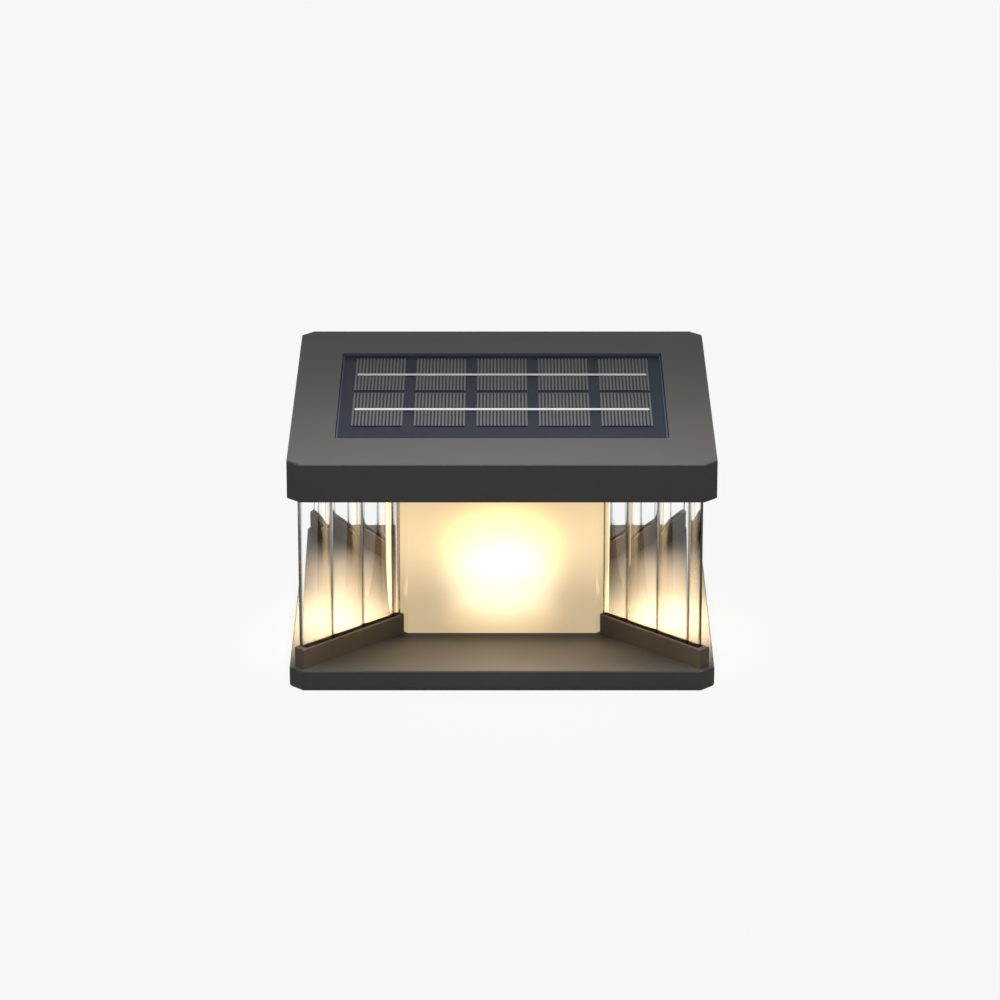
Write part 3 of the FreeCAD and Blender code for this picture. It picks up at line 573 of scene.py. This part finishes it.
# ---------------------------------------------------------------- clear fins
def fin_recipe(fins, low, high, phase, side, degrees, material):
    """A sheet bent into arcs that meet at the valleys, with a notched foot and top."""
    recipe = Recipe("fluted_fin", {
        "Inner": low.x, "Outer": high.x, "Foot": low.z, "Top": high.z,
        "Rail top": RAIL_TOP, "Ceiling": BOX_HIGH.z, "Foot setback": fins.foot,
        "Tongue setback": fins.setback, "Pitch": fins.pitch, "Rise": fins.rise,
        "Thinning": fins.thinning, "Round": fins.round, "Thickness": high.y - low.y - fins.rise,
        "Phase": phase, "Side": side, "Turn": math.radians(degrees), "Columns": fins.columns,
        "Material": material,
    })
    size = recipe.inputs
    reach = size["Outer"] - size["Inner"]
    sheet = recipe.node("GeometryNodeMeshGrid", None,
                        {"Size X": reach, "Size Y": 3.0, "Vertices X": size["Columns"], "Vertices Y": 4})
    along, level, _ = recipe.parts(recipe.at())
    place = along + (size["Inner"] + size["Outer"]) / 2.0
    foot_end = level.below(-0.5) * place.below(size["Inner"] + size["Foot setback"])
    tongue_end = level.above(0.5) * place.above(size["Outer"] - size["Tongue setback"])
    sheet = recipe.node("GeometryNodeDeleteGeometry", {"domain": "FACE"},
                        {"Geometry": sheet, "Selection": foot_end + tongue_end})

    height = (size["Foot"] + level.above(-1.0) * (size["Rail top"] - size["Foot"])
              + level.above(0.0) * (size["Ceiling"] - size["Rail top"])
              + level.above(1.0) * (size["Top"] - size["Ceiling"]))
    sheet = recipe.node("GeometryNodeSetPosition", None,
                        {"Geometry": sheet, "Position": recipe.vector(place, 0.0, height)})
    front = recipe.node("GeometryNodeExtrudeMesh", None,
                        {"Mesh": sheet, "Offset": (0.0, 1.0, 0.0), "Offset Scale": 1.0, "Individual": False})
    x, face, z = recipe.parts(recipe.at())
    from_crest = recipe.math("FLOORED_MODULO", size["Outer"] - size["Phase"] - x, size["Pitch"])
    from_valley = size["Pitch"] / 2.0 - abs(from_crest - size["Pitch"] / 2.0)
    from_crest = size["Pitch"] / 2.0 - (from_valley ** 2.0 + size["Round"] ** 2.0) ** 0.5
    radius = ((size["Pitch"] / 2.0) ** 2.0 + size["Rise"] ** 2.0) / (2.0 * size["Rise"])
    crest = (size["Rise"] - radius + (radius ** 2.0 - from_crest ** 2.0) ** 0.5) / size["Rise"]
    back = crest * (size["Rise"] + size["Thinning"]) - (size["Rise"] + size["Thickness"]) / 2.0
    depth = back + face * (size["Thickness"] - crest * size["Thinning"])
    from_end = recipe.math("MINIMUM", x - size["Inner"], size["Outer"] - x)
    marked = recipe.node("GeometryNodeStoreNamedAttribute", {"data_type": "FLOAT", "domain": "POINT"},
                         {"Geometry": recipe.joined(sheet, front), "Name": "from_bend",
                          "Value": recipe.math("MINIMUM", from_valley, from_end)})
    whole = recipe.node("GeometryNodeSetPosition", None,
                        {"Geometry": marked,
                         "Position": recipe.vector(x, depth * size["Side"], z)})
    recipe.finished(recipe.moved(whole, Rotation=recipe.vector(0.0, 0.0, size["Turn"])))
    return recipe


class FinsOperator(bpy.types.Operator):
    """Makes the four clear fluted fins"""

    bl_idname = "post_light.fins"
    bl_label = "Clear fins"

    def execute(self, context):
        fins = sizes("fins")
        material = clear_sheet("clear_fin", fins.index)
        for corner, degrees in CORNERS.items():
            node = "fin_" + corner
            low, high = turned_box(node, degrees)
            staggered = corner in STAGGERED
            phase = fins.stagger if staggered else 0.0
            side = -1.0 if staggered else 1.0
            piece = fin_recipe(fins, low, high, phase, side, degrees, material).build("clear_fin_" + corner)
            tidy_mesh(piece, 10.0)
            keep(piece, "lamp", "clear_fin", node)
        return {"FINISHED"}


# ---------------------------------------------------------------- solar panel
def finger_recipe(solar, material):
    """Thin lines in even steps on every cell."""
    recipe = Recipe("solar_fingers", {
        "Columns": solar.columns, "Rows": solar.rows, "Cell width": solar.cell_width,
        "Cell depth": solar.cell_depth, "Fingers": solar.fingers, "Finger width": solar.finger_width,
        "Finger height": solar.finger_height, "Field width": CELLS_HIGH.x - CELLS_LOW.x,
        "Field depth": CELLS_HIGH.y - CELLS_LOW.y, "Middle": (CELLS_LOW.y + CELLS_HIGH.y) / 2,
        "Base": CELLS_HIGH.z, "Material": material,
    })
    size = recipe.inputs
    line = recipe.node("GeometryNodeMeshCube", None,
                       {"Size": recipe.vector(size["Finger width"], size["Cell depth"], size["Finger height"])})
    reach = size["Cell width"] - size["Finger width"]
    starts = recipe.node("GeometryNodeMeshLine", None,
                         {"Count": size["Fingers"],
                          "Start Location": recipe.vector(reach / -2.0, 0.0, 0.0),
                          "Offset": recipe.vector(reach / (size["Fingers"] - 1.0), 0.0, 0.0)})
    cell = recipe.node("GeometryNodeInstanceOnPoints", None, {"Points": starts, "Instance": line})
    cells = recipe.node("GeometryNodeMeshGrid", None,
                        {"Size X": size["Field width"] - size["Cell width"],
                         "Size Y": size["Field depth"] - size["Cell depth"],
                         "Vertices X": size["Columns"], "Vertices Y": size["Rows"]})
    field = recipe.node("GeometryNodeInstanceOnPoints", None, {"Points": cells, "Instance": cell})
    lift = size["Base"] + size["Finger height"] / 2.0
    recipe.finished(recipe.moved(field, Translation=recipe.vector(0.0, size["Middle"], lift)))
    return recipe


def edge_recipe(solar, material):
    """The seal that runs round the panel between its board and its clear sheet."""
    board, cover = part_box("solar_board"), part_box("solar_cover")
    recipe = Recipe("panel_edge", {
        "Width": board[1].x - board[0].x, "Depth": board[1].y - board[0].y, "Edge": solar.edge,
        "Bottom": board[1].z + solar.edge_gap, "Top": cover[0].z - solar.edge_gap,
        "Middle": (board[0].y + board[1].y) / 2, "Material": material,
    })
    size = recipe.inputs
    height = size["Top"] - size["Bottom"]
    outer, inner = [recipe.node("GeometryNodeMeshCube", None, {"Size": shape}) for shape in (
        recipe.vector(size["Width"], size["Depth"], height),
        recipe.vector(size["Width"] - size["Edge"] * 2.0, size["Depth"] - size["Edge"] * 2.0, height * 2.0))]
    ring = recipe.node("GeometryNodeMeshBoolean", {"operation": "DIFFERENCE"}, {"Mesh 1": outer, "Mesh 2": inner})
    lift = recipe.vector(0.0, size["Middle"], (size["Bottom"] + size["Top"]) / 2.0)
    recipe.finished(recipe.moved(ring, Translation=lift))
    return recipe


class SolarOperator(bpy.types.Operator):
    """Finishes the solar panel and prints its thin conductor lines"""

    bl_idname = "post_light.solar"
    bl_label = "Solar panel"

    def execute(self, context):
        solar = sizes("solar")
        finish_nodes(solar_backing("solar_backing", solar.backing), "solar_board")
        finish_nodes(silicon(solar.silicon), "solar_cells")
        finish_nodes(tinned("solar_busbar", (0.62, 0.61, 0.58), 0.4), "solar_busbars")
        finish_nodes(panel_sheet(solar.backing), "solar_cover")
        finish_nodes(soft_rubber("panel_adhesive", (0.7, 0.7, 0.66)), "solar_adhesive")
        fingers = finger_recipe(solar, tinned("solar_finger", solar.finger, 0.45)).build("solar_fingers")
        tidy_mesh(fingers)
        keep(fingers, "lamp", "busbar")
        # the seal takes the board's finish in a lighter blue, painted light against the shade in the gap
        edge = edge_recipe(solar, solar_backing("solar_seal", solar.seal)).build("solar_edge")
        tidy_mesh(edge)
        keep(edge, "lamp", "solar_back")
        return {"FINISHED"}


# ---------------------------------------------------------------- screws
def screw_recipe(screws, low, high, material):
    """Four countersunk screws a quarter turn apart, each with a cross in its head."""
    recipe = Recipe("countersunk_screws", {
        "Reach": high.x - screws.head, "Bottom": low.z, "Top": high.z, "Head": screws.head,
        "Shank": screws.shank, "Cone": screws.cone, "Slot length": screws.slot_length,
        "Slot width": screws.slot_width, "Slot depth": screws.slot_depth, "Material": material,
    })
    size = recipe.inputs
    head = recipe.node("GeometryNodeMeshCone", None,
                       {"Vertices": 48, "Radius Top": size["Shank"], "Radius Bottom": size["Head"],
                        "Depth": size["Cone"]})
    slots = []
    for x, y in (("Slot length", "Slot width"), ("Slot width", "Slot length")):
        shape = recipe.vector(size[x], size[y], size["Slot depth"] * 2.0)
        slots.append(recipe.node("GeometryNodeMeshCube", None, {"Size": shape}))
    cut = recipe.node("GeometryNodeMeshBoolean", {"operation": "DIFFERENCE"}, {"Mesh 1": head, "Mesh 2": slots[0]})
    cut = recipe.node("GeometryNodeMeshBoolean", {"operation": "DIFFERENCE"}, {"Mesh 1": cut, "Mesh 2": slots[1]})
    shank_length = size["Top"] - size["Bottom"] - size["Cone"]
    shank = recipe.node("GeometryNodeMeshCylinder", None,
                        {"Vertices": 32, "Radius": size["Shank"], "Depth": shank_length})
    lift = recipe.vector(0.0, 0.0, size["Cone"] + shank_length / 2.0)
    one = recipe.joined(cut, recipe.moved(shank, Translation=lift))
    ring = recipe.node("GeometryNodeMeshCircle", None, {"Vertices": 4, "Radius": size["Reach"]})
    four = recipe.node("GeometryNodeInstanceOnPoints", None, {"Points": ring, "Instance": one})
    recipe.finished(recipe.moved(four, Translation=recipe.vector(0.0, 0.0, size["Bottom"])))
    return recipe


class ScrewsOperator(bpy.types.Operator):
    """Makes the countersunk screws of the bottom cover and the cap, and finishes the inner ones"""

    bl_idname = "post_light.screws"
    bl_label = "Screws"

    def execute(self, context):
        screws = sizes("screws")
        steel = turned_metal("screw_steel", (0.56, 0.56, 0.55), 0.3)
        for name in ("bottom_cover_screws", "cap_screws"):
            low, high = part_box(name)
            piece = screw_recipe(screws, low, high, steel).build("cross_" + name)
            tidy_mesh(piece)
            keep(piece, "lamp", "screw_steel", name)
        finish_nodes(steel, "mast_base_screws", "mast_cap_screws", "led_board_screws", "board_screws")
        return {"FINISHED"}


# ---------------------------------------------------------------- housing, box and inner pieces
class HousingOperator(bpy.types.Operator):
    """Finishes the slabs, the covers and the rails"""

    bl_idname = "post_light.housing"
    bl_label = "Housing"

    def execute(self, context):
        housing = sizes("housing")
        slab = moulded_plastic("slab_plastic", housing.slab, housing.roughness, housing.grain)
        rail = moulded_plastic("rail_plastic", housing.rail, housing.roughness, housing.grain)
        finish_nodes(slab, "base_tray", "cap_shell", "ceiling_plate", "bottom_cover")
        finish_nodes(rail, *nodes_like("fin_rail_"))
        finish_nodes(soft_rubber("seal_rubber", (0.03, 0.03, 0.03)), "bottom_gasket", "cap_gasket",
                     "light_box_lower_seal", "light_box_upper_seal")
        return {"FINISHED"}


class GlowOperator(bpy.types.Operator):
    """Lights the frosted box and finishes the lamps behind it"""

    bl_idname = "post_light.glow"
    bl_label = "Frosted box"

    def execute(self, context):
        finish_nodes(frosted_glow(sizes("glow")), "light_box")
        finish_nodes(lamp_chip(), "leds")
        boards = [name for name in nodes_like("led_board_") if not name.endswith("screws")]
        finish_nodes(printed_board("light_board", (0.82, 0.82, 0.78), (0.72, 0.73, 0.70)), *boards)
        finish_nodes(moulded_plastic("white_moulding", (0.78, 0.77, 0.73), 0.5, 0.4 * MM), "mast")
        return {"FINISHED"}


class InnerOperator(bpy.types.Operator):
    """Finishes the cell, its contacts, the switch and the main board"""

    bl_idname = "post_light.inner"
    bl_label = "Cell, switch and board"

    def execute(self, context):
        finish_nodes(cell_sleeve(), "battery_cell")
        finish_nodes(turned_metal("contact_metal", (0.72, 0.70, 0.64), 0.25),
                     "battery_leaf_contact", "battery_top_contact")
        finish_nodes(moulded_plastic("switch_plastic", (0.02, 0.02, 0.021), 0.4, 0.3 * MM), "switch_body")
        finish_nodes(soft_rubber("button_rubber", (0.05, 0.05, 0.052)), "power_button")
        finish_nodes(printed_board("main_board", (0.02, 0.12, 0.05), (0.05, 0.22, 0.09)), "main_board")
        finish_nodes(moulded_plastic("component_epoxy", (0.02, 0.02, 0.02), 0.55, 0.2 * MM), "board_components")
        return {"FINISHED"}


# ---------------------------------------------------------------- studio
def stage_paint(name, brightness):
    """Pale paint that the camera, glossy surfaces and clear ones see as one even tone."""
    finish = Finish(name)
    even = finish.node("ShaderNodeEmission", None, {"Color": (brightness, brightness, brightness, 1.0)})
    paint = finish.principled(Base_Color=(0.2, 0.2, 0.2), Roughness=0.8)
    share = finish.seen() * EVEN_SHARE
    return finish.done(finish.node("ShaderNodeMixShader", None, {0: share, 1: paint, 2: even}))


def set_world(stage):
    """Even light from all round, seen by the camera, glossy and clear surfaces as the background."""
    world = bpy.data.worlds.new("studio")
    bpy.context.scene.world = world
    world.use_nodes = True
    graph = Graph(world.node_tree)
    light = graph.node("ShaderNodeBackground", None, {"Strength": stage.ambient})
    shown = graph.node("ShaderNodeBackground", None, {"Strength": stage.background})
    for background in (light, shown):
        background.output.node.inputs["Color"].default_value = (1.0, 1.0, 1.0, 1.0)
    mixed = graph.node("ShaderNodeMixShader", None, {0: graph.seen(), 1: light, 2: shown})
    graph.node("ShaderNodeOutputWorld", None, {"Surface": mixed})


def add_lamp(name, place, target, width, height, watts, colour=(1.0, 1.0, 1.0), spread=180.0):
    """An area lamp that looks at a target."""
    data = bpy.data.lights.new(name, "AREA")
    data.shape = "RECTANGLE"
    data.size = width
    data.size_y = height
    data.energy = watts
    data.color = colour
    data.spread = math.radians(spread)
    lamp = bpy.data.objects.new(name, data)
    lamp.location = place
    lamp.rotation_euler = (Vector(target) - Vector(place)).to_track_quat("-Z", "Y").to_euler()
    bpy.context.scene.collection.objects.link(lamp)
    return lamp


def add_glow_lamps(stage):
    """Warm lamps over the stages, for the light that the frosted box sends out."""
    lamps = []
    for y in (BOX_LOW.y - FACE_LAMP_GAP, BOX_HIGH.y + FACE_LAMP_GAP):
        place = (0.0, y, sizes("glow").centre)
        target = (0.0, 2 * y, place[2] - FACE_LAMP_DROP)
        lamps.append(add_lamp("glow_face", place, target, *FACE_LAMP_SIZE,
                              stage.front_glow, GLOW_TONE, FACE_LAMP_SPREAD))
    for x in (-SIDE_LAMP_REACH, SIDE_LAMP_REACH):
        for front_to_rear, share, spread in SIDE_LAMPS:
            y = front_to_rear * MM
            lamps.append(add_lamp("glow_side", (x, y, stage.side_height), (x, y + OFF_PLUMB, 0.0),
                                  *SIDE_LAMP_SIZE, stage.side_glow * share, GLOW_TONE, spread))
    for lamp in lamps:
        lamp.visible_camera = False
        lamp.visible_glossy = False
        lamp.visible_transmission = False


def add_camera(stage):
    """The camera at the photograph's angle and framing."""
    data = bpy.data.cameras.new("camera")
    data.sensor_width = 36.0
    data.lens = stage.lens
    data.shift_x = stage.shift
    data.clip_end = 100.0
    camera = bpy.data.objects.new("camera", data)
    angle = math.radians(stage.elevation)
    back = Vector((0.0, -math.cos(angle), math.sin(angle)))
    camera.location = Vector((0.0, 0.0, stage.target)) + back * stage.distance
    camera.rotation_euler = (math.pi / 2 - angle, 0.0, 0.0)
    bpy.context.scene.collection.objects.link(camera)
    bpy.context.scene.camera = camera


def add_floor(stage):
    """A wide plain floor just under the object."""
    mesh = bpy.data.meshes.new("studio_floor")
    corners = [(-FLOOR_REACH, -FLOOR_REACH), (FLOOR_REACH, -FLOOR_REACH),
               (FLOOR_REACH, FLOOR_REACH), (-FLOOR_REACH, FLOOR_REACH)]
    mesh.from_pydata([(x, y, -FLOOR_DROP) for x, y in corners], [], [(0, 1, 2, 3)])
    mesh.materials.append(stage_paint("studio_floor", stage.background))
    floor = bpy.data.objects.new("studio_floor", mesh)
    bpy.context.scene.collection.objects.link(floor)


class StageOperator(bpy.types.Operator):
    """Sets up the floor, the light and the camera"""

    bl_idname = "post_light.stage"
    bl_label = "Studio"

    def execute(self, context):
        stage = sizes("stage")
        set_world(stage)
        add_floor(stage)
        add_lamp("key", (0.0, -0.09, 0.32), (0.0, -0.10, 0.085), 0.26, 0.08, stage.key, spread=70.0)
        add_lamp("fill", (0.0, -1.6, 0.9), (0.0, 0.0, 0.05), 0.6, 0.6, stage.fill)
        add_glow_lamps(stage)
        add_camera(stage)
        context.scene.view_settings.view_transform = "Standard"
        return {"FINISHED"}


# ---------------------------------------------------------------- panel and registration
OPERATORS = (HousingOperator, GlowOperator, FinsOperator, SolarOperator, ScrewsOperator, InnerOperator,
             StageOperator)


class PostLightPanel(bpy.types.Panel):
    """Lists the pieces that can be made and the sizes and colours behind them"""

    bl_idname = "VIEW3D_PT_post_light"
    bl_label = "Deck post cap light"
    bl_space_type = "VIEW_3D"
    bl_region_type = "UI"
    bl_category = "Post light"

    def draw(self, context):
        for operator in OPERATORS:
            self.layout.operator(operator.bl_idname)
        for name, group in GROUPS.items():
            box = self.layout.box()
            box.label(text=name.capitalize())
            for setting in group.__annotations__:
                box.prop(getattr(context.scene, "post_light_" + name), setting)


def register():
    for cls in (*GROUPS.values(), *OPERATORS, PostLightPanel):
        bpy.utils.register_class(cls)
    for name, group in GROUPS.items():
        setattr(bpy.types.Scene, "post_light_" + name, PointerProperty(type=group))


def unregister():
    for name in GROUPS:
        delattr(bpy.types.Scene, "post_light_" + name)
    for cls in reversed((*GROUPS.values(), *OPERATORS, PostLightPanel)):
        bpy.utils.unregister_class(cls)


def main():
    register()
    for operator in OPERATORS:
        group, name = operator.bl_idname.split(".")
        getattr(getattr(bpy.ops, group), name)()


if __name__ == "__main__":
    main()
